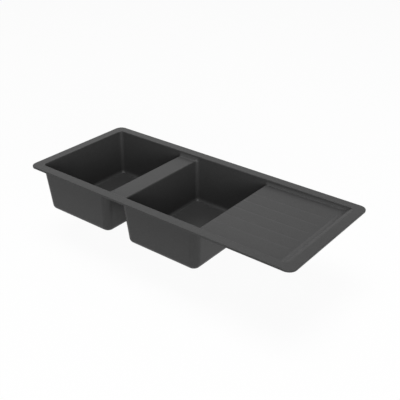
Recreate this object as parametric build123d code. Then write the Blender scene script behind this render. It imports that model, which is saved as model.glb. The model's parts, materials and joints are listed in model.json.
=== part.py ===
from build123d import *
import os
from math import atan2, cos, degrees, radians, sin, tan

# Inset double bowl kitchen sink with a drainer, one composite moulding with its wastes,
# overflows, edge seal and swing clips. Millimetres. The origin is the centre of the rim's
# underside, which lies on the worktop: +X runs along the sink to the drainer, +Y to the back
# edge and +Z up.

# ---- the moulding ----
sink_length = 1160.0
sink_width = 500.0
rim_thickness = 7.0
rim_width = 37.0  # from the outer edge to the bowl walls, measured at the rim's top
rim_corner_radius = 29.0  # in plan
rim_edge_radius = 2.0  # along the outer top edge
lip_radius = 3.0  # where the rim's top turns down into the bowls

bowl_length = 331.0  # along X
divider_width = 76.5
bowl_depth = 182.0  # from the rim's top to the bowl floor
wall = 7.5
wall_draft = 4.8  # degrees, so that the moulding leaves its mould
bowl_corner_radius = 15.0
bowl_floor_radius = 14.0
outer_corner_radius = 28.0
outer_floor_radius = 20.0

divider_drop = 17.0  # rim's top down to the divider and to the drainer's low edge
drainer_end_drop = 13.0  # rim's top down to the drainer's far end, so that it drains
drainer_corner_radius = 10.8
shoulder_radius = 4.0  # edges of the divider and the drainer over the bowls
ramp_length = 36.0  # of the S-shaped rise at the drainer's far end, up to the rim
ramp_ends = 5.0  # degrees that it slopes at its foot and at its crest
ramp_bite = 0.1  # how far its two ends are let into the moulding

groove_count = 5
groove_pitch = 60.0
groove_width = 12.0
groove_depth = 0.6
groove_end = 57.0  # from the rim at the drainer's far end

# ---- the foam seal under the rim ----
seal_inset = 4.0  # from the sink's outer edge
seal_width = 6.0
seal_thickness = 2.0
seal_play = 0.1

# ---- the swing clips ----
clip_thickness = 2.0
clip_width = 16.0
clip_reach = 60.0  # from the screw to the clip's tip
clip_claw_height = 3.0
clip_tooth = 2.5
clip_hole_play = 0.3
worktop_thickness = 28.0  # the claws bear on the underside of a worktop this thick
lug_radius = 8.0
lug_web = 6.0
edge_lug_inset = 21.0  # screw axis to the sink's edge, beside a bowl
inner_lug_inset = 58.0  # the same under the drainer
end_clip_inset = 130.0  # screw axis of the left end's clips to the front and back edges
bowl_clip_inset = 82.0  # screw axis of the front's middle clip to the bowl's edge
corner_clip_inset = 70.0  # screw axis of the front's right clip to the drainer's far wall
clip_screw_radius = 2.5
thread_play = 0.05
clip_screw_reach = 13.0  # how far the screw enters the insert
clip_head_radius = 4.6
clip_head_height = 2.5
head_edge = 1.0  # rounding of screw heads
screw_slot = 1.2
screw_slot_depth = 0.9
hex_key = 2.0
hex_recess = 1.6  # depth of the key recess in a screw head
clip_washer_radius = 6.5
clip_washer_thickness = 1.0
insert_radius = 3.6
insert_length = 13.0
insert_depth = 14.0  # of the hole that takes it

# ---- the basket wastes ----
drain_radius = 45.0  # hole in the bowl floor
drain_forward = 28.0  # in front of the bowl's centre line
seat_radius = 57.5  # sunk seat for the flange
seat_depth = 2.5
flange_radius = 57.0
sheet = 1.2  # stainless sheet of the strainer cup
cup_radius = 43.0
cup_depth = 31.0
cup_bend = 4.0
top_gasket = 1.0
bottom_gasket = 2.0
gasket_width = 10.0
slot_count = 8
slot_width = 3.0
slot_inner = 9.0
slot_outer = 19.0
clamp_screw_radius = 3.0
clamp_head_radius = 6.0
clamp_head_height = 2.8
clamp_screw_grip = 16.0  # thread inside the waste body's hub

waste_flange_radius = 58.0
waste_flange = 3.0
waste_wall = 3.0
waste_play = 3.0  # between the strainer cup and the waste body
hub_radius = 7.0
hub_gap = 1.0
spoke_width = 3.0
spoke_height = 8.0
cone_height = 14.0
outlet_radius = 23.9  # G 1 1/2 tail
outlet_length = 30.0

# ---- the lift-out baskets ----
basket_play = 0.8  # between the basket's lip and the cup
basket_sheet = 1.0
basket_height = 24.0
basket_top_radius = 36.0
basket_floor_radius = 30.0
basket_hole = 1.5
basket_hole_rows = (0.32, 0.62)  # share of the height of each row of holes
basket_holes_around = 24
basket_floor_holes = 12
basket_floor_ring = 27.6
plug_radius = 26.0
plug_lip = 4.0
plug_web = 2.0
plug_height = 5.8
knob_radius = 11.0
knob_height = 8.0
knob_top_edge = 3.0
knob_low_edge = 2.0
knob_post_radius = 4.0
knob_post_height = 11.0
rivet_radius = 2.5

# ---- the overflows ----
overflow_drop = 62.0  # rim's top to the overflow's centre
overflow_offset = 80.0  # behind the bowl's centre line
overflow_hole = 15.0
cover_radius = 24.0
cover_thickness = 1.6
cover_edge = 0.8
cover_holes = 8
cover_hole = 2.4
cover_hole_ring = 9.6
overflow_screw_radius = 2.0
overflow_head_radius = 4.2
overflow_head_height = 1.8
overflow_gasket = 2.0
elbow_flange = 3.0
elbow_flange_radius = 24.0
elbow_radius = 18.0
elbow_depth = 19.0
elbow_wall = 2.0
elbow_hub_radius = 4.5
socket_wall = 2.4
socket_depth = 12.0
pipe_radius = 9.0
pipe_wall = 1.5
pipe_play = 0.1
pipe_bend = 30.0
pipe_below_floor = 18.0  # bowl underside to the pipe's axis
nut_radius = 14.0
nut_height = 12.0
nut_flutes = 12
flute_radius = 1.5

# ---- places that follow from the sizes above ----
top = rim_thickness
inner_left = -sink_length / 2 + rim_width
inner_right = sink_length / 2 - rim_width
inner_back = sink_width / 2 - rim_width
left_bowl_end = inner_left + bowl_length
right_bowl_start = left_bowl_end + divider_width
right_bowl_end = right_bowl_start + bowl_length
bowls = {"left": (inner_left, left_bowl_end), "right": (right_bowl_start, right_bowl_end)}
draft = tan(radians(wall_draft))
floor_z = top - bowl_depth
under_z = floor_z - wall
divider_z = top - divider_drop
margin = 50.0  # how far cutting shapes run past what they cut


def wall_x(x, z, side):
    """Place at height z of a drafted wall that stands at x at the rim's top."""
    return x + side * (top - z) * draft


drainer_edge = wall_x(right_bowl_end, divider_z, -1)
drainer_slope = (divider_drop - drainer_end_drop) / (inner_right - drainer_edge)


ramp_foot = inner_right - ramp_length


def drainer_z(x):
    return divider_z + (x - drainer_edge) * drainer_slope


def upright(shape):
    return [e for e in shape.edges() if abs(e.tangent_at(0.5).Z) > 0.9]


def at_height(shape, z):
    """Edges that lie flat at height z."""
    box = [(e, e.bounding_box()) for e in shape.edges()]
    return [e for e, b in box if abs(b.min.Z - z) < 0.01 and abs(b.max.Z - z) < 0.01]


def tapered(x0, x1, y, z_high, z_low):
    """Block with four drafted sides, which has its stated size at the rim's top."""
    inset = 2 * (top - z_high) * draft
    section = Pos((x0 + x1) / 2, 0, z_high) * Rectangle(x1 - x0 - inset, 2 * y - inset)
    return extrude(section, z_high - z_low, dir=(0, 0, -1), taper=wall_draft)


def long_bar(points):
    """Bar along Y with an outline in X and Z."""
    return extrude(Plane.XZ * make_face(Polyline(*points, close=True)), sink_width, both=True)


def sheet_ring(outer, inner, z_low, z_high):
    return Pos(0, 0, z_low) * extrude(Circle(outer) - Circle(inner), z_high - z_low)


def turned(points):
    """Solid turned about Z from an outline of radius and height pairs."""
    return revolve(Plane.XZ * make_face(Polyline(*points, close=True)), Axis.Z)


def ring_edge(shape, radius, z):
    """The round edge of a turned shape at this radius and height."""
    rings = [e for e in shape.edges().filter_by(GeomType.CIRCLE) if abs(e.radius - radius) < 0.01]
    return [e for e in rings if abs(e.arc_center.Z - z) < 0.01]


# ---- the moulding ----
def cavity():
    """Everything that is hollow inside the rim: both bowls, and the drop over the divider
    and the drainer. Its rounded edges become the fillets inside the sink."""
    deep = floor_z - margin
    divider = [
        (wall_x(left_bowl_end, deep, -1), deep),
        (wall_x(left_bowl_end, divider_z, -1), divider_z),
        (wall_x(right_bowl_start, divider_z, 1), divider_z),
        (wall_x(right_bowl_start, deep, 1), deep),
    ]
    far = inner_right + margin
    drainer = [
        (wall_x(right_bowl_end, deep, -1), deep),
        (drainer_edge, divider_z),
        (far, drainer_z(far)),
        (far, deep),
    ]
    space = tapered(inner_left, inner_right, inner_back, top + 1, floor_z)
    space = space - long_bar(divider) - long_bar(drainer)
    across = [e for e in at_height(space, divider_z) if abs(e.tangent_at(0.5).Y) > 0.9]
    space = fillet(across, shoulder_radius)
    ends = [e for e in upright(space) if e.center().X < inner_left + margin]
    ends += [e for e in upright(space) if e.center().X > inner_right - margin]
    space = fillet(ends, bowl_corner_radius)

    def along_x(x0, x1):
        flat = [e for e in space.edges() if abs(e.tangent_at(0.5).X) > 0.9]
        high = [e for e in flat if divider_z - 1 < e.center().Z < top - 1]
        return [e for e in high if x0 < e.center().X < x1]

    space = fillet(along_x(left_bowl_end, right_bowl_start), bowl_corner_radius)
    space = fillet(along_x(right_bowl_end + margin, inner_right - margin), drainer_corner_radius)
    return fillet(at_height(space, floor_z), bowl_floor_radius)


def bowl_shell(x0, x1):
    """Outside of one bowl, rounded at its corners and along its bottom."""
    shell = tapered(x0 - wall, x1 + wall, inner_back + wall, 1, under_z)
    shell = fillet(upright(shell), outer_corner_radius)
    return fillet(at_height(shell, under_z), outer_floor_radius)


def drop_shell():
    """Underside of the divider and of the drainer, one wall below their tops."""
    y = inner_back + wall
    middles = [sum(bowls[side]) / 2 for side in ("left", "right")]
    divider = tapered(*middles, y, 1, divider_z - wall)
    drainer = tapered(middles[1], inner_right + wall, y, 1, divider_z - 3 * wall)
    x0, x1 = middles[1] - margin, inner_right + wall
    surface = [(x0, drainer_z(x0)), (ramp_foot, drainer_z(ramp_foot)), (x1, top)]
    below = [(x, z - wall) for x, z in surface] + [(x1, floor_z), (x0, floor_z)]
    return divider + (drainer - long_bar(below))


def end_ramp():
    """Fills the drainer's far end with a curve that rises from it to the rim in an S."""
    crest, crest_z = inner_right + lip_radius - 5 * ramp_bite, top - ramp_bite
    foot_z = drainer_z(ramp_foot) - ramp_bite
    steepest = 2 * degrees(atan2(crest_z - foot_z, crest - ramp_foot)) - ramp_ends
    low, high = radians(ramp_ends), radians(steepest)
    radius = (crest - ramp_foot) / 2 / (sin(high) - sin(low))
    turn = steepest - ramp_ends
    rise = JernArc((ramp_foot, foot_z), (cos(low), sin(low)), radius, turn)
    fall = JernArc(rise @ 1, rise % 1, radius, -turn)
    under = foot_z - wall / 2
    back = Polyline(fall @ 1, (crest, under), (ramp_foot, under), (ramp_foot, foot_z))
    section = Plane.XZ * make_face([rise, fall, back])
    return extrude(section, inner_back + lip_radius / 2, both=True)


def grooves():
    """Rounded shallow grooves that run down the drainer."""
    radius = (groove_width**2 / 4 + groove_depth**2) / (2 * groove_depth)
    x0, x1 = drainer_edge, inner_right - groove_end
    start = Vector(x0, 0, drainer_z(x0) + radius - groove_depth)
    end = Vector(x1, 0, drainer_z(x1) + radius - groove_depth)
    run = Solid.make_cylinder(
        radius, (end - start).length, Plane(start, x_dir=(0, 1, 0), z_dir=end - start)
    )
    groove = run + Pos(start) * Sphere(radius) + Pos(end) * Sphere(radius)
    return [place * groove for place in GridLocations(groove_pitch, groove_pitch, 1, groove_count)]


def seal_outline(play):
    outer = seal_inset - play
    inner = seal_inset + seal_width + play
    shapes = [
        RectangleRounded(sink_length - 2 * d, sink_width - 2 * d, rim_corner_radius - d)
        for d in (outer, inner)
    ]
    return shapes[0] - shapes[1]


# Where each clip's screw stands, and the heading in degrees in which the clip reaches out
# under the worktop. At rest the clip is turned back a quarter turn, along the edge.
back_row = sink_width / 2 - edge_lug_inset
left_row = -sink_length / 2 + edge_lug_inset
end_clip_y = sink_width / 2 - end_clip_inset
front_inner_row = -sink_width / 2 + inner_lug_inset
right_inner_row = sink_length / 2 - inner_lug_inset
drainer_middle = (drainer_edge + inner_right) / 2
edge_clips = {
    "back_left": (sum(bowls["left"]) / 2, back_row, 90),
    "back_middle": (sum(bowls["right"]) / 2, back_row, 90),
    "back_right": (drainer_middle, back_row, 90),
    "left_front": (left_row, -end_clip_y, 180),
    "left_back": (left_row, end_clip_y, 180),
}
drainer_clips = {
    "right_end": (right_inner_row, 0.0, 0),
    "front_middle": (right_bowl_end + bowl_clip_inset, front_inner_row, -90),
    "front_right": (inner_right - corner_clip_inset, front_inner_row, -90),
}
clips = edge_clips | drainer_clips
clip_top = -worktop_thickness - clip_claw_height  # where the clips' arms touch their lugs


def lug(x, y):
    """Post for a clip's screw, under the rim or the drainer."""
    return Pos(x, y, clip_top) * extrude(Circle(lug_radius), 1 - clip_top)


def lug_gusset(x, y, heading):
    """Web from a lug to the wall beside it."""
    inward = rim_width - wall / 2 - edge_lug_inset
    return Pos(x, y, clip_top / 2) * Rot(0, 0, heading) * Pos(-inward / 2, 0, 0) * Box(
        inward, lug_web, -clip_top
    )


def sink_body():
    rim = extrude(RectangleRounded(sink_length, sink_width, rim_corner_radius), rim_thickness)
    rim = fillet(at_height(rim, top), rim_edge_radius)
    body = rim + drop_shell()
    for x0, x1 in bowls.values():
        body += bowl_shell(x0, x1)
    for x, y, _ in clips.values():
        body += lug(x, y)
    for place in edge_clips.values():
        body += lug_gusset(*place)
    body -= cavity()
    inner = [e for e in at_height(body, top) if abs(e.center().X) < inner_right + 1]
    inner = [e for e in inner if abs(e.center().Y) < inner_back + 1]
    body = fillet(inner, lip_radius) + end_ramp()
    for groove in grooves():
        body -= groove
    body -= extrude(seal_outline(seal_play), seal_thickness + seal_play)
    for x, y, _ in clips.values():
        body -= Pos(x, y, clip_top) * extrude(Circle(insert_radius + thread_play), insert_depth)
    for x0, x1 in bowls.values():
        drain = Pos((x0 + x1) / 2, -drain_forward, floor_z)
        body -= drain * Pos(0, 0, -wall) * extrude(Circle(drain_radius), 2 * wall)
        body -= drain * Pos(0, 0, -seat_depth) * extrude(Circle(seat_radius), wall)
        hole = Pos(0, 0, -2 * wall) * extrude(Circle(overflow_hole), 3 * wall)
        body -= overflow_frame(x1).location * hole
    return body


def rim_seal():
    return extrude(seal_outline(0), seal_thickness)


# ---- the swing clips ----
head_top = clip_top - clip_thickness - clip_washer_thickness


def clip(x, y, heading):
    """Flat arm with a rounded eye, and a toothed claw turned up at its tip."""
    outline = Circle(clip_width / 2) + Pos(clip_reach / 2, 0) * Rectangle(clip_reach, clip_width)
    arm = extrude(outline - Circle(clip_screw_radius + clip_hole_play), clip_thickness)
    claw = clip_thickness + clip_claw_height
    arm += Pos(clip_reach - clip_thickness / 2, 0, claw / 2) * Box(clip_thickness, clip_width, claw)
    for i in (-1, 0, 1):
        notch = Rot(45, 0, 0) * Box(clip_width, clip_tooth, clip_tooth)
        arm -= Pos(clip_reach, i * clip_width / 3, claw) * notch
    return Pos(x, y, clip_top - clip_thickness) * Rot(0, 0, heading - 90) * arm


def clip_screw(x, y, _):
    shank = extrude(Circle(clip_screw_radius), clip_top - head_top + clip_screw_reach)
    head = Pos(0, 0, -clip_head_height) * extrude(Circle(clip_head_radius), clip_head_height)
    head = fillet(head.edges().sort_by(Axis.Z)[0], head_edge)
    key = Pos(0, 0, -clip_head_height) * extrude(RegularPolygon(hex_key, 6), hex_recess)
    return Pos(x, y, head_top) * (shank + head - key)


def clip_washer(x, y, _):
    ring = sheet_ring(clip_washer_radius, clip_screw_radius + clip_hole_play, 0, clip_washer_thickness)
    return Pos(x, y, head_top) * ring


def clip_insert(x, y, _):
    ring = sheet_ring(insert_radius, clip_screw_radius + thread_play, 0, insert_length)
    return Pos(x, y, clip_top) * ring


# ---- the basket wastes, drawn about the drain's axis with the bowl floor at z = 0 ----
gasket_z = -seat_depth
flange_z = gasket_z + top_gasket
cup_floor = flange_z - cup_depth
under = -wall
body_flange_z = under - bottom_gasket
bell_radius = cup_radius + waste_play
bell_floor = cup_floor - sheet - hub_gap - spoke_height / 2
cone_floor = bell_floor - cone_height
hub_top = cup_floor - sheet - hub_gap
inlet_z = under - pipe_below_floor


def strainer_cup():
    """Pressed flange and cup with a slotted floor."""
    outer = [
        (0, cup_floor - sheet),
        (cup_radius, cup_floor - sheet),
        (cup_radius, flange_z),
        (flange_radius, flange_z),
        (flange_radius, flange_z + sheet),
        (cup_radius - sheet, flange_z + sheet),
        (cup_radius - sheet, cup_floor),
        (0, cup_floor),
    ]
    cup = turned(outer)
    for radius, z, bend in (
        (cup_radius, cup_floor - sheet, cup_bend),
        (cup_radius - sheet, cup_floor, cup_bend - sheet),
        (cup_radius - sheet, flange_z + sheet, cup_bend - sheet),
        (flange_radius, flange_z + sheet, sheet / 2),
    ):
        cup = fillet(ring_edge(cup, radius, z), bend)
    cup -= Pos(0, 0, cup_floor - 2 * sheet) * extrude(Circle(clamp_screw_radius + thread_play), 4)
    length = slot_outer - slot_inner + slot_width
    slot = Pos(0, 0, cup_floor - 2 * sheet) * extrude(SlotOverall(length, slot_width), 4 * sheet)
    for place in PolarLocations((slot_outer + slot_inner) / 2, slot_count):
        cup -= place * slot
    return cup


def waste_gaskets():
    upper = sheet_ring(flange_radius, flange_radius - gasket_width, gasket_z, flange_z)
    lower_radius = waste_flange_radius - 1
    lower = sheet_ring(lower_radius, lower_radius - gasket_width, body_flange_z, under)
    return upper, lower


def inlet_heading():
    """Direction from the drain to the overflow pipe, the same in both bowls."""
    return atan2(overflow_offset + drain_forward, pipe_run_x())


def waste_body():
    """Plastic bell under the floor, with a spoked hub, a tail and the overflow inlet."""
    outside = [
        (0, body_flange_z),
        (waste_flange_radius, body_flange_z),
        (waste_flange_radius, body_flange_z - waste_flange),
        (bell_radius + waste_wall, body_flange_z - waste_flange),
        (bell_radius + waste_wall, bell_floor),
        (outlet_radius, cone_floor),
        (outlet_radius, cone_floor - outlet_length),
        (0, cone_floor - outlet_length),
    ]
    inside = [
        (0, body_flange_z + 1),
        (bell_radius, body_flange_z + 1),
        (bell_radius, bell_floor),
        (outlet_radius - waste_wall, cone_floor),
        (outlet_radius - waste_wall, cone_floor - outlet_length - 1),
        (0, cone_floor - outlet_length - 1),
    ]
    bell = turned(outside)
    bore = turned(inside)
    axis = Plane((0, 0, inlet_z), z_dir=(cos(inlet_heading()), sin(inlet_heading()), 0))
    socket = axis.location * extrude(Circle(pipe_radius + socket_wall), inlet_reach)
    seat = Pos(0, 0, inlet_reach - socket_depth) * extrude(Circle(pipe_radius + pipe_play), socket_depth)
    passage = extrude(Circle(pipe_radius - pipe_wall), inlet_reach)
    spokes = [
        Pos(0, 0, hub_top - spoke_height) * Rot(0, 0, turn) * Box(2 * bell_radius, spoke_width, spoke_height)
        for turn in (0, 90)
    ]
    hub_base = hub_top - clamp_screw_grip
    hub = Pos(0, 0, hub_base) * extrude(Circle(hub_radius), hub_top - hub_base)
    frame = (hub + spokes[0] + spokes[1]) & turned(outside)
    body = bell + socket - bore + frame
    body -= axis.location * (seat + passage)
    return body - Pos(0, 0, hub_base) * extrude(Circle(clamp_screw_radius + thread_play), margin)


def clamp_screw():
    reach = sheet + clamp_screw_grip
    shank = Pos(0, 0, cup_floor - reach) * extrude(Circle(clamp_screw_radius), reach)
    head = Pos(0, 0, cup_floor) * extrude(Circle(clamp_head_radius), clamp_head_height)
    head = fillet(head.edges().sort_by(Axis.Z)[-1], head_edge)
    slot = Box(2 * clamp_head_radius, screw_slot, 2 * screw_slot_depth)
    return shank + head - Pos(0, 0, cup_floor + clamp_head_height) * slot


plug_top = cup_floor + plug_height
basket_floor = plug_top + basket_sheet
basket_top = plug_top + basket_height


def basket():
    """Perforated strainer basket with a lip that fills the cup's mouth."""
    lip_edge = cup_radius - sheet - basket_play
    s = basket_sheet
    shell = turned(
        [
            (0, plug_top),
            (basket_floor_radius, plug_top),
            (basket_top_radius, basket_top - s),
            (lip_edge, basket_top - s),
            (lip_edge, basket_top),
            (basket_top_radius - s, basket_top),
            (basket_floor_radius - s, basket_floor),
            (0, basket_floor),
        ]
    )
    shell -= Pos(0, 0, plug_top - s) * extrude(Circle(rivet_radius + thread_play), 3 * s)
    half_step = 180 / basket_holes_around
    for row, share in enumerate(basket_hole_rows):
        z = plug_top + share * basket_height
        drill = Rot(0, 90, 0) * Cylinder(basket_hole, basket_floor_radius / 2)
        for place in PolarLocations(basket_floor_radius, basket_holes_around, row * half_step):
            shell -= Pos(0, 0, z) * place * drill
    drill = Pos(0, 0, plug_top) * Cylinder(basket_hole / 2, 4 * s)
    for place in PolarLocations(basket_floor_ring, basket_floor_holes):
        shell -= place * drill
    return shell


def plug_seal():
    """Rubber plug under the basket, whose lip seals round the slots."""
    hole = rivet_radius + thread_play
    lip = plug_radius - plug_lip
    return turned(
        [
            (hole, plug_top),
            (plug_radius, plug_top),
            (plug_radius, cup_floor),
            (lip, cup_floor),
            (lip, plug_top - plug_web),
            (hole, plug_top - plug_web),
        ]
    )


def basket_knob():
    """Pull knob on its post, riveted through the basket and the plug."""
    post = Pos(0, 0, basket_floor) * extrude(Circle(knob_post_radius), knob_post_height)
    rivet = Pos(0, 0, plug_top - plug_web) * extrude(Circle(rivet_radius), plug_web + basket_sheet)
    cap = Pos(0, 0, basket_floor + knob_post_height) * extrude(Circle(knob_radius), knob_height)
    cap = fillet(cap.edges().group_by(Axis.Z)[-1], knob_top_edge)
    cap = fillet(cap.edges().group_by(Axis.Z)[0], knob_low_edge)
    return rivet + post + cap


# ---- the overflows ----
def overflow_frame(wall_end):
    """Frame on the bowl's right wall: its origin on the wall, its Z into the bowl."""
    z = top - overflow_drop
    normal = (-cos(radians(wall_draft)), 0, sin(radians(wall_draft)))
    return Plane((wall_x(wall_end, z, -1), overflow_offset, z), x_dir=(0, 1, 0), z_dir=normal)


# Depths behind the wall's inner face, along the overflow's axis
gasket_back = -wall - overflow_gasket
elbow_back = gasket_back - elbow_flange - elbow_depth


def pipe_run_x():
    """Distance along X from the drain's axis to the upright run of the overflow pipe."""
    depth = -(gasket_back - elbow_flange - elbow_depth / 2)
    z = top - overflow_drop
    rise = depth * cos(radians(wall_draft))
    return wall_x(bowl_length / 2, z, -1) + rise


inlet_reach = bell_radius + waste_wall + socket_depth


def overflow_cover():
    plate = extrude(Circle(cover_radius), cover_thickness)
    plate = fillet(plate.edges().group_by(Axis.Z)[-1], cover_edge)
    plate -= extrude(Circle(overflow_screw_radius + pipe_play), cover_thickness)
    hole = extrude(Circle(cover_hole), cover_thickness)
    for place in PolarLocations(cover_hole_ring, cover_holes):
        plate -= place * hole
    return plate


def overflow_screw():
    reach = wall + overflow_gasket + elbow_flange + elbow_depth - 2 * elbow_wall
    shank = Pos(0, 0, -reach) * extrude(Circle(overflow_screw_radius), reach + cover_thickness)
    head = Pos(0, 0, cover_thickness) * extrude(Circle(overflow_head_radius), overflow_head_height)
    head = fillet(head.edges().group_by(Axis.Z)[-1], head_edge)
    slot = Box(2 * overflow_head_radius, screw_slot, 2 * screw_slot_depth)
    return shank + head - Pos(0, 0, cover_thickness + overflow_head_height) * slot


def overflow_seal():
    return sheet_ring(elbow_flange_radius, elbow_radius - elbow_wall, gasket_back, -wall)


def overflow_elbow(wall_end):
    """Chamber behind the wall with a hub for the screw and a socket that points down."""
    frame = overflow_frame(wall_end).location
    flange = Pos(0, 0, gasket_back - elbow_flange) * extrude(Circle(elbow_flange_radius), elbow_flange)
    chamber = Pos(0, 0, elbow_back) * extrude(Circle(elbow_radius), elbow_depth)
    hollow_depth = elbow_depth + elbow_flange - elbow_wall
    hollow = Pos(0, 0, elbow_back + elbow_wall) * extrude(
        Circle(elbow_radius - elbow_wall), hollow_depth
    )
    hub = Pos(0, 0, elbow_back) * extrude(Circle(elbow_hub_radius), elbow_depth)
    bore = Pos(0, 0, elbow_back + elbow_wall) * extrude(
        Circle(overflow_screw_radius + thread_play), elbow_depth + elbow_flange
    )
    centre = Pos(pipe_x(wall_end), overflow_offset, 0)
    top_z = top - overflow_drop
    low_z = top_z - elbow_radius - socket_depth
    spout = Pos(0, 0, low_z) * extrude(Circle(pipe_radius + socket_wall), top_z - low_z)
    seat = Pos(0, 0, low_z) * extrude(Circle(pipe_radius + pipe_play), socket_depth)
    passage = Pos(0, 0, low_z) * extrude(Circle(pipe_radius - pipe_wall), top_z - low_z)
    shell = frame * (flange + chamber) + centre * spout - frame * hollow
    shell = shell - centre * (seat + passage) + frame * hub
    return shell - frame * bore


def pipe_x(wall_end):
    """Place along X of the upright run of a bowl's overflow pipe."""
    return wall_end - bowl_length / 2 + pipe_run_x()


def pipe_ends(wall_end):
    """Top, corner and inlet end of the pipe's centre line, in the sink's frame."""
    z_top = top - overflow_drop - elbow_radius
    z_low = floor_z + inlet_z
    drain = Vector(wall_end - bowl_length / 2, -drain_forward, z_low)
    run = Vector(pipe_run_x(), overflow_offset + drain_forward, 0)
    inner = drain + run.normalized() * (inlet_reach - socket_depth)
    corner = Vector(pipe_x(wall_end), overflow_offset, z_low)
    return Vector(corner.X, corner.Y, z_top), corner, inner


def overflow_pipe(wall_end):
    """Rigid moulded tube from the elbow down and across to the waste body."""
    start, corner, end = pipe_ends(wall_end)
    path = FilletPolyline(start, corner, end, radius=pipe_bend)
    section = Plane(start, z_dir=(0, 0, -1)) * (Circle(pipe_radius) - Circle(pipe_radius - pipe_wall))
    return sweep(section, path=path)


def pipe_nut():
    """Fluted ring nut that seals the pipe in a socket."""
    ring = sheet_ring(nut_radius, pipe_radius + pipe_play, 0, nut_height)
    flute = extrude(Circle(flute_radius), nut_height)
    for place in PolarLocations(nut_radius + flute_radius / 3, nut_flutes):
        ring -= place * flute
    return ring


def pipe_nuts(wall_end):
    """The two nuts, hard against the sockets of the elbow and of the waste body."""
    start, corner, end = pipe_ends(wall_end)
    along = (corner - end).normalized()
    upper = Pos(start.X, start.Y, start.Z - socket_depth - nut_height) * pipe_nut()
    lower = Plane(end + along * socket_depth, z_dir=along).location * pipe_nut()
    return upper, lower


# ---- every piece, written to its own file ----
def group(solids):
    return Compound(children=[s for shape in solids for s in shape.solids()])


def bowl_pieces(side):
    """Waste and overflow of one bowl, placed in the sink's frame."""
    x0, x1 = bowls[side]
    drain = Pos((x0 + x1) / 2, -drain_forward, floor_z)
    upper, lower = waste_gaskets()
    on_wall = overflow_frame(x1).location
    return {
        f"{side}_strainer_cup": drain * strainer_cup(),
        f"{side}_flange_gasket": drain * upper,
        f"{side}_waste_gasket": drain * lower,
        f"{side}_waste_body": drain * waste_body(),
        f"{side}_clamp_screw": drain * clamp_screw(),
        f"{side}_basket": drain * basket(),
        f"{side}_basket_plug": drain * plug_seal(),
        f"{side}_basket_knob": drain * basket_knob(),
        f"{side}_overflow_cover": on_wall * overflow_cover(),
        f"{side}_overflow_screw": on_wall * overflow_screw(),
        f"{side}_overflow_gasket": on_wall * overflow_seal(),
        f"{side}_overflow_elbow": overflow_elbow(x1),
        f"{side}_overflow_pipe": overflow_pipe(x1),
        f"{side}_overflow_nuts": group(pipe_nuts(x1)),
    }


pieces = {
    "sink_body": sink_body(),
    "rim_seal": rim_seal(),
    "clip_screws": group(clip_screw(*place) for place in clips.values()),
    "clip_washers": group(clip_washer(*place) for place in clips.values()),
    "clip_inserts": group(clip_insert(*place) for place in clips.values()),
}
for name, place in clips.items():
    pieces[f"clip_{name}"] = clip(*place)
for side in bowls:
    pieces.update(bowl_pieces(side))

os.makedirs("parts", exist_ok=True)
for node, shape in pieces.items():
    export_step(shape, f"parts/{node}.step")
    print(node, round(shape.volume), shape.is_valid)
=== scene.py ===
# %% [markdown]
# # A double bowl kitchen sink
#
# The sink is one dark composite moulding with two bowls and a drainer. Under it hang its
# wastes, overflows, edge seal and clips. The CAD model holds every shape at its real size.
# This lesson dresses that model: it gives each piece the finish of the real one, lights it
# softly and sets the camera where the photographer stood.

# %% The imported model
import json
import math

import bpy
from mathutils import Matrix, Vector


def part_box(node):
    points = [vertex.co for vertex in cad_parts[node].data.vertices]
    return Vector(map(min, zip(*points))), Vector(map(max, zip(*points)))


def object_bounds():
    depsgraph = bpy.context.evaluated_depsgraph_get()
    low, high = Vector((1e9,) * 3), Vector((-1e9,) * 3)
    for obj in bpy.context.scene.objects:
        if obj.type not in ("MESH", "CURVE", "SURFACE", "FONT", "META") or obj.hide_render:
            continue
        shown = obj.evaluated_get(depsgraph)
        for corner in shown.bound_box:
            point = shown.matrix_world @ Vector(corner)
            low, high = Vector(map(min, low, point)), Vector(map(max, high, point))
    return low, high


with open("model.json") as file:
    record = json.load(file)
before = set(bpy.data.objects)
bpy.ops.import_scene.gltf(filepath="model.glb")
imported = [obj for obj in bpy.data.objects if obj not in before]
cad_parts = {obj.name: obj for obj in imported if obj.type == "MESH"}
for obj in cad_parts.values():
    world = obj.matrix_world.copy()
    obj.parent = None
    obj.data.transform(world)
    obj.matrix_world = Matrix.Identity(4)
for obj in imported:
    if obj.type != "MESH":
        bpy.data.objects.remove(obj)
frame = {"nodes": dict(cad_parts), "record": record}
cad_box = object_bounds()
nodes = frame["nodes"]
sides = ("left", "right")

# %% [markdown]
# ## Shader maths as plain expressions
#
# A finish is worked out by a chain of nodes. Each could be made and linked by hand, but then
# a sum of two numbers takes four lines. Here a small class wraps a node's output, and the
# signs + - * / on it add the Math nodes. Any other node comes from `Shader.node`, and
# `Shader.surface` ends the chain in the Principled shader.


# %% A value, which writes Math nodes
class Value:
    """The output of a node. Arithmetic on it writes Math nodes."""

    def __init__(self, shader, socket):
        self.shader = shader
        self.socket = socket

    def __add__(self, other):
        return self.shader.maths("ADD", self, other)

    def __sub__(self, other):
        return self.shader.maths("SUBTRACT", self, other)

    def __rsub__(self, other):
        return self.shader.maths("SUBTRACT", other, self)

    def __mul__(self, other):
        return self.shader.maths("MULTIPLY", self, other)

    def __truediv__(self, other):
        return self.shader.maths("DIVIDE", self, other)

    __radd__ = __add__


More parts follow.
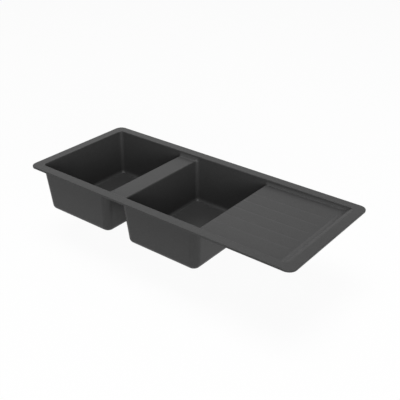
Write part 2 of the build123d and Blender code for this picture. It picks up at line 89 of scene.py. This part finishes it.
# %% A shader, which writes all other nodes
class Shader:
    """One material, whose nodes are written from values and settings."""

    def __init__(self, name):
        self.material = bpy.data.materials.new(name)
        self.material.use_nodes = True
        self.tree = self.material.node_tree
        self.tree.nodes.clear()

    def node(self, kind, settings=None, inputs=None, output=0):
        made = self.tree.nodes.new(kind)
        for key, setting in (settings or {}).items():
            setattr(made, key, setting)
        for key, value in (inputs or {}).items():
            if isinstance(value, Value):
                self.tree.links.new(value.socket, made.inputs[key])
            else:
                made.inputs[key].default_value = value
        return Value(self, made.outputs[output]) if made.outputs else None

    def maths(self, operation, first, second=0.0):
        return self.node("ShaderNodeMath", {"operation": operation}, {0: first, 1: second})

    def surface(self, **inputs):
        """Ends the material in a Principled surface with these inputs."""
        named = {key.replace("_", " "): value for key, value in inputs.items()}
        skin = self.node("ShaderNodeBsdfPrincipled", inputs=named)
        return self.end(skin)

    def end(self, skin):
        self.node("ShaderNodeOutputMaterial", inputs={"Surface": skin})
        return self.material


# %% [markdown]
# Finishes are placed in the sink's own frame, in metres, so that a grain keeps its real size
# on every piece. Object coordinates give that place, because each node's object sits at the
# origin. A grain is a noise whose scale is one over the grain's size.


# %% Places and grains
def place(shader):
    """The point on the surface, in metres in the sink's frame."""
    return shader.node("ShaderNodeTexCoord", output="Object")


def grain(shader, size, detail=2.0, where=None):
    """Noise from 0 to 1 whose spots are about this size, in metres."""
    return shader.node(
        "ShaderNodeTexNoise",
        inputs={"Vector": where or place(shader), "Scale": 1 / size, "Detail": detail},
    )


# %% Colours and bumps
def grey(level):
    return (level, level, level, 1)


def blend(shader, mask, low, high):
    """One colour where the mask is 0 and the other where it is 1."""
    return shader.node(
        "ShaderNodeMix",
        {"data_type": "RGBA"},
        {"Factor": mask, 6: low, 7: high},
        output=2,
    )


def bump(shader, height, depth, strength=1.0):
    """A normal from a height of 0 to 1 that stands for this depth, in metres."""
    return shader.node(
        "ShaderNodeBump", inputs={"Height": height, "Distance": depth, "Strength": strength}
    )


def ready(material):
    """Says that a finish is ready, and passes it on."""
    print("made", material.name, "from", len(material.node_tree.nodes), "nodes")
    return material


# %% [markdown]
# ## The composite
#
# The moulding is resin filled with crushed quartz, dyed through in a neutral near-black. Two
# things make it look as it does: its own colour is very dark, and a soft sheen lies over it,
# which is why the flat tops look far lighter than the walls inside the bowls. A grey paint
# would light up everywhere alike, so the colour here stays dark and the sheen does the rest.
# The sheen of a sanded surface is weaker than that of a polished one, so the IOR is set low.
# Close up, the quartz shows as fine grains. A ramp keeps most of them near the resin's tone, which
# is their own colour, and lifts only a few much lighter as painted glints where grains would catch
# the light, because a plain noise would look like mist.


# %% Light and dark stops
def ramp(shader, value, stops):
    """A value sent through stops. Each is a place from 0 to 1 and the level it gives there."""
    sent = shader.node("ShaderNodeValToRGB", inputs={"Fac": value})
    elements = sent.socket.node.color_ramp.elements
    while len(elements) < len(stops):
        elements.new(0.5)
    for element, (position, level) in zip(elements, stops):
        element.position = position
        element.color = grey(level)
    return sent


# %% Quartz composite
crystal_size = 0.0009  # metres, like all grain sizes and bump depths here
dust_size = 0.0004
dimple_size = 0.0015
cloud_size = 0.06
sanded_depth = 0.00006
# the last stops lift a few grains to painted glints
fleck_and_glint_stops = ((0.0, 0.1), (0.55, 0.4), (0.86, 0.55), (0.93, 1.0))


def composite():
    shader = Shader("quartz_composite")
    crystals = shader.node(
        "ShaderNodeTexVoronoi",
        {"feature": "F1"},
        {"Vector": place(shader), "Scale": 1 / crystal_size},
        output="Color",
    )
    tone = shader.node("ShaderNodeSeparateColor", inputs={"Color": crystals}, output="Red")
    # the grains' own tone, with a few lifted as painted glints
    flecks_and_glints = ramp(shader, tone, fleck_and_glint_stops)
    fine = grain(shader, dust_size)
    cloud = grain(shader, cloud_size, detail=3)
    mask = flecks_and_glints * 0.6 + fine * 0.3 + cloud * 0.1
    height = fine * 0.6 + grain(shader, dimple_size) * 0.4
    return shader.surface(
        Base_Color=blend(shader, mask, grey(0.018), grey(0.062)),
        Roughness=0.36 + (fine - 0.5) * 0.1 + (cloud - 0.5) * 0.06,
        Normal=bump(shader, height, sanded_depth),
        IOR=1.25,
    )


quartz = ready(composite())


# %% [markdown]
# ## Stainless steel
#
# The strainer cups, baskets and covers are spun on a lathe, so their polish runs in rings
# about their own axis. A streaked noise in straight lines would look like a brushed sheet.
# Here a one-dimensional noise is read by the distance from the axis, which gives rings, and a
# broad noise over them stands for smudges. Each waste and each overflow cover has an axis of
# its own, so the finish is a function that takes the axis's place.


# %% Spun stainless steel
ring_width = 0.0004
ring_depth = 0.00002
smudge_size = 0.02


def spun_steel(name, axis_place, turned_to_x=False):
    """Steel whose polish runs in rings about an axis along Z, or along X."""
    shader = Shader(name)
    local = shader.node(
        "ShaderNodeVectorMath", {"operation": "SUBTRACT"}, {0: place(shader), 1: axis_place}
    )
    across = (0, 1, 1) if turned_to_x else (1, 1, 0)
    flat = shader.node("ShaderNodeVectorMath", {"operation": "MULTIPLY"}, {0: local, 1: across})
    reach = shader.node("ShaderNodeVectorMath", {"operation": "LENGTH"}, {0: flat}, output="Value")
    rings = shader.node(
        "ShaderNodeTexNoise",
        {"noise_dimensions": "1D"},
        {"W": reach, "Scale": 1 / ring_width, "Detail": 3.0},
    )
    smudge = grain(shader, smudge_size, detail=3)
    return shader.surface(
        Base_Color=blend(shader, rings, grey(0.52), grey(0.68)),
        Metallic=1.0,
        Roughness=0.2 + rings * 0.14 + smudge * 0.08,
        Normal=bump(shader, rings, ring_depth),
    )


print("polish rings are", ring_width * 1000, "mm wide")

# %% [markdown]
# ## Moulded plastic
#
# Waste bodies, elbows, pipes and nuts are moulded in off-white polypropylene. It is smooth
# but never glossy, with a slight waviness from cooling and a fine matte texture. The tail of
# each waste body carries a pipe thread. Turning that thread as a mesh would put ridges outside
# the CAD's cylinder, so it is pressed into the surface as a bump that climbs one pitch a turn.

# %% The thread on the tails
mounts = {mount["name"]: mount for mount in frame["record"]["mounts"]}
tails = {side: mounts[f"{side}_outlet"] for side in sides}
inch = 0.0254
threads_per_inch = 11
thread_pitch = inch / threads_per_inch
thread_depth = 0.0014


def thread(shader, tail):
    """Height of a pipe thread round this tail, and 1 everywhere above it."""
    x, y, z = tail["pos_m"]
    top = z + tail["dims"]["length_mm"] / 1000 / 2
    local = shader.node(
        "ShaderNodeVectorMath", {"operation": "SUBTRACT"}, {0: place(shader), 1: (x, y, top)}
    )
    across, along, height = (
        shader.node("ShaderNodeSeparateXYZ", inputs={0: local}, output=axis) for axis in "XYZ"
    )
    turn = shader.maths("ARCTAN2", along, across) / math.tau
    phase = shader.maths("FRACT", height / thread_pitch + turn)
    ridge = shader.maths("ABSOLUTE", phase - 0.5) * 2
    below = shader.maths("LESS_THAN", height, -thread_pitch)
    return 1 - below * ridge


print("threads climb", round(thread_pitch * 1000, 3), "mm a turn")


# %% Off-white moulded plastic
wave_size = 0.03
matte_size = 0.0006


def moulded_plastic(side):
    shader = Shader(f"{side}_moulded_plastic")
    waves = grain(shader, wave_size)
    matte = grain(shader, matte_size)
    return shader.surface(
        Base_Color=blend(shader, waves, (0.66, 0.66, 0.63, 1), (0.74, 0.74, 0.71, 1)),
        Roughness=0.38 + matte * 0.12,
        Normal=bump(shader, thread(shader, tails[side]), thread_depth, strength=0.8),
    )


plastics = {side: ready(moulded_plastic(side)) for side in sides}

# %% [markdown]
# ## Rubber and foam
#
# Gaskets and plugs are black rubber with a fine dusty bloom. The rim's seal is foam tape, whose
# closed cells bulge a little, with a sunken seam between them that is painted darker as painted
# shade. A cell pattern gives those better than a noise, because its spots have edges.


# %% Rubber and foam
dust_bloom_size = 0.004
rubber_grain = 0.0008
rubber_depth = 0.00005
foam_cell = 0.0008
foam_depth = 0.0002


def rubber():
    shader = Shader("black_rubber")
    bloom = grain(shader, dust_bloom_size, detail=4)
    return shader.surface(
        Base_Color=blend(shader, bloom, grey(0.012), grey(0.03)),
        Roughness=0.6 + bloom * 0.2,
        Normal=bump(shader, grain(shader, rubber_grain), rubber_depth),
    )


def foam():
    shader = Shader("seal_foam")
    cells = shader.node(
        "ShaderNodeTexVoronoi",
        {"feature": "F1"},
        {"Vector": place(shader), "Scale": 1 / foam_cell},
        output="Distance",
    )
    return shader.surface(
        # painted shade: darker towards the sunken seams between the cells
        Base_Color=blend(shader, cells, grey(0.05), grey(0.025)),
        Roughness=0.85 + cells * 0.1,
        Normal=bump(shader, 1 - cells, foam_depth),
    )


black_rubber, seal_foam = ready(rubber()), ready(foam())

# %% [markdown]
# ## Zinc-plated steel and brass
#
# The clips are pressed from sheet and zinc plated, as are their screws and washers. Zinc is a
# dull metal with a cloudy, slightly warm bloom, so its roughness changes in soft patches. Sheet
# also shows faint lines from rolling, which run along a clip: some clips lie along X and some
# along Y, so the sheet has two finishes. The inserts are turned brass.


# %% Streaks
def stretch(shader, x, y, z):
    """The place, scaled along each axis, so that a grain grows into streaks."""
    return shader.node(
        "ShaderNodeVectorMath", {"operation": "MULTIPLY"}, {0: place(shader), 1: (x, y, z)}
    )


# %% Zinc and brass
zinc_bloom_size = 0.006
rolling_line = 0.001
brass_bloom_size = 0.003
turning_mark = 0.0005
metal_depth = 0.00002


def zinc(name, streak=(1, 1, 1)):
    """Zinc plate. A streak below 1 on an axis draws the grain out into lines along it."""
    shader = Shader(name)
    bloom = grain(shader, zinc_bloom_size, detail=4)
    lines = grain(shader, rolling_line, where=stretch(shader, *streak))
    return shader.surface(
        Base_Color=blend(shader, bloom, (0.46, 0.46, 0.44, 1), (0.62, 0.61, 0.57, 1)),
        Metallic=1.0,
        Roughness=0.3 + bloom * 0.2 + lines * 0.06,
        Normal=bump(shader, lines, metal_depth),
    )


def brass():
    shader = Shader("turned_brass")
    bloom = grain(shader, brass_bloom_size, detail=3)
    return shader.surface(
        Base_Color=blend(shader, bloom, (0.55, 0.38, 0.13, 1), (0.66, 0.48, 0.2, 1)),
        Metallic=1.0,
        Roughness=0.28 + bloom * 0.12,
        Normal=bump(shader, grain(shader, turning_mark), metal_depth),
    )


zinc_screws, turned_brass = ready(zinc("zinc_screws")), ready(brass())
sheets = {
    "along_x": ready(zinc("zinc_sheet_along_x", streak=(0.05, 1, 1))),
    "along_y": ready(zinc("zinc_sheet_along_y", streak=(1, 0.05, 1))),
}

# %% [markdown]
# ## Dressing the pieces
#
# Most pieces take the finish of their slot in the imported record. The spun steel pieces also
# need the axis that they were turned about, which is the drain's for a waste and runs through
# the piece's own middle for an overflow cover or its screw. The plastic pieces take their
# side's finish, whose thread climbs that side's tail.


# %% One finish for each piece
shared = {
    "composite": quartz,
    "foam": seal_foam,
    "rubber": black_rubber,
    "zinc_steel": zinc_screws,
    "brass": turned_brass,
}
wastes = {side: ready(spun_steel(f"{side}_spun_waste", tails[side]["pos_m"])) for side in sides}


def finish_of(node, slot):
    side = node.split("_")[0]
    if slot in shared:
        return shared[slot]
    if slot == "white_plastic":
        return plastics[side]
    if slot == "clip_steel":
        low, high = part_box(node)
        return sheets["along_x" if high[0] - low[0] > high[1] - low[1] else "along_y"]
    if "overflow" in node:
        low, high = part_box(node)
        middle = (Vector(low) + Vector(high)) / 2
        return ready(spun_steel(f"{node}_steel", middle, turned_to_x=True))
    return wastes[side]


for part in frame["record"]["subparts"]:
    node = nodes[part["node"]]
    node.data.materials.clear()
    node.data.materials.append(finish_of(part["node"], part["material_slot"]))
worn = {node.data.materials[0].name for node in nodes.values()}
print(len(nodes), "pieces dressed in", len(worn), "finishes")

# %% [markdown]
# ## Smooth roundings
#
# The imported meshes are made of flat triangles. Shading them smooth everywhere would smear
# the light over sharp corners too, so edges that turn by more than a small angle stay sharp.
# Shading changes no vertex, so the CAD's shape is untouched.

# %% Shading by angle
sharp_degrees = 28
for node in nodes.values():
    node.data.shade_smooth()
    node.data.set_sharp_from_angle(angle=math.radians(sharp_degrees))
print("edges of more than", sharp_degrees, "degrees stay sharp")

# %% [markdown]
# ## The camera
#
# The photograph was taken from the front right, looking down at about 28 degrees. The camera's
# direction, distance and lens were worked out together from the sink's straight edges in the
# photograph: lines that run together there fix the direction, and how fast they close in
# fixes the distance. A camera further away with a longer lens would show the same side but
# would draw the far end too large.

# %% Camera
azimuth = math.radians(37.73)  # from straight in front, towards the drainer's end
elevation = math.radians(28.29)
roll = math.radians(0.48)
distance = 2.5349  # metres
shift_right = 0.03729  # how far the picture's middle lies to the right of the aim, in metres
aim = Vector((0.0, 0.0, -0.053))  # the middle of the rim, a third of the bowls' depth down
picture_width = 400  # pixels
focal_pixels = 696.2  # the lens, as a number of such pixels

back = Vector(
    (
        math.sin(azimuth) * math.cos(elevation),
        -math.cos(azimuth) * math.cos(elevation),
        math.sin(elevation),
    )
)
level_right = Vector((math.cos(azimuth), math.sin(azimuth), 0))
level_up = back.cross(level_right)
right = level_right * math.cos(roll) + level_up * math.sin(roll)
up = level_up * math.cos(roll) - level_right * math.sin(roll)
stand = aim + back * distance + right * shift_right

camera = bpy.data.objects.new("camera", bpy.data.cameras.new("camera"))
bpy.context.scene.collection.objects.link(camera)
camera.matrix_world = Matrix((right, up, back)).transposed().to_4x4()
camera.location = stand
camera.data.lens = focal_pixels * camera.data.sensor_width / picture_width
bpy.context.scene.camera = camera
print("lens", round(camera.data.lens, 1), "mm from", [round(c, 3) for c in stand])

# %% [markdown]
# ## Floor and light
#
# The photograph has a plain white background, and soft light from above and from the front
# right. The white comes from the floor and the world themselves, not from more light: where a
# ray of the camera, or a reflection in the metal, meets them, they show white. To the light
# that falls on the sink they are a pale card and a dim room. The sink hangs a little above
# the floor, so that its shadow is soft. The floor keeps a small share of the card's own shade
# even for the camera, so that the shadow stays on it, though faint.

# %% White for what the camera and the gloss see
def seen_rays(tree):
    """A number that is 1 for camera, glossy and transmission rays and 0 for the others."""
    path = tree.nodes.new("ShaderNodeLightPath")
    total = path.outputs["Is Camera Ray"]
    for kind in ("Is Glossy Ray", "Is Transmission Ray"):
        either = tree.nodes.new("ShaderNodeMath")
        either.operation = "MAXIMUM"
        tree.links.new(total, either.inputs[0])
        tree.links.new(path.outputs[kind], either.inputs[1])
        total = either.outputs[0]
    return total


# %% Floor
floor_drop = 0.12  # metres below the sink's lowest point
floor_size = 30.0  # metres
card_grain = 0.004
whiteness = 0.94  # share of plain white in the floor that the camera sees


def floor_card():
    shader = Shader("pale_card")
    speckle = grain(shader, card_grain)
    card = shader.node(
        "ShaderNodeBsdfDiffuse",
        inputs={"Color": blend(shader, speckle, grey(0.8), grey(0.84)), "Roughness": 1.0},
    )
    white = shader.node("ShaderNodeEmission", inputs={"Color": grey(1), "Strength": 1.0})
    thinned = shader.node("ShaderNodeMixShader", inputs={0: whiteness, 1: card, 2: white})
    seen = Value(shader, seen_rays(shader.tree))
    return shader.end(shader.node("ShaderNodeMixShader", inputs={0: seen, 1: card, 2: thinned}))


floor_level = cad_box[0].z - floor_drop
bpy.ops.mesh.primitive_plane_add(size=floor_size, location=(0, 0, floor_level))
floor = bpy.context.object
floor.name = "floor"
floor.data.materials.append(floor_card())
print("floor", round(-floor_level, 3), "m below the rim's underside")

# %% [markdown]
# Three large softboxes light the sink. One hangs high, a little to the front right, and gives
# the bowls' floors their tone. A long one stands low at the front right, near the camera. It
# reaches the tops of the inner walls and fades down them, as in the photograph, because the
# rim cuts it off, and it draws the light line in each bowl's rounded back corner. A faint one
# fills in from behind, and the room adds a dim light from all round. Each softbox's power is
# worked out from the light it should bring to the sink, where 1 shows a colour as it is
# written, so that moving a softbox away doesn't dim it.


# %% Room light
room_strength = 0.06


def room(strength):
    """Even light from all round, which the camera and the gloss see as pure white."""
    world = bpy.data.worlds.new("white_room")
    world.use_nodes = True
    bpy.context.scene.world = world
    tree = world.node_tree
    background = tree.nodes["Background"]
    background.inputs["Color"].default_value = grey(1)
    mix = tree.nodes.new("ShaderNodeMix")
    mix.inputs["A"].default_value = strength
    mix.inputs["B"].default_value = 1.0
    tree.links.new(seen_rays(tree), mix.inputs["Factor"])
    tree.links.new(mix.outputs["Result"], background.inputs["Strength"])


room(room_strength)
print("room light", room_strength)

# %% Softboxes
softbox_distance = 5.0  # metres from the middle of the rim


def softbox(name, turn, height, brightness, span):
    """A flat lamp that faces the sink. Turn is its bearing from the drainer's end towards
    the front, and height its angle above the rim. Span is the angles it fills, across and up.
    All of them are in degrees."""
    turn, height = math.radians(turn), math.radians(height)
    way = Vector(
        (
            math.cos(turn) * math.cos(height),
            -math.sin(turn) * math.cos(height),
            math.sin(height),
        )
    )
    lamp = bpy.data.objects.new(name, bpy.data.lights.new(name, "AREA"))
    lamp.data.shape = "RECTANGLE"
    wide, tall = (2 * softbox_distance * math.tan(math.radians(angle / 2)) for angle in span)
    lamp.data.size, lamp.data.size_y = wide, tall
    lamp.data.energy = brightness * (math.pi * softbox_distance) ** 2
    lamp.location = way * softbox_distance
    lamp.rotation_mode = "QUATERNION"
    lamp.rotation_quaternion = way.to_track_quat("Z", "Y")
    bpy.context.scene.collection.objects.link(lamp)
    print(name, round(lamp.data.energy), "W")


softbox("top_softbox", turn=60, height=70, brightness=0.78, span=(26, 26))
softbox("low_softbox", turn=42, height=12, brightness=0.72, span=(44, 20))
softbox("back_softbox", turn=225, height=50, brightness=0.12, span=(28, 28))
bpy.context.scene.view_settings.view_transform = "Standard"
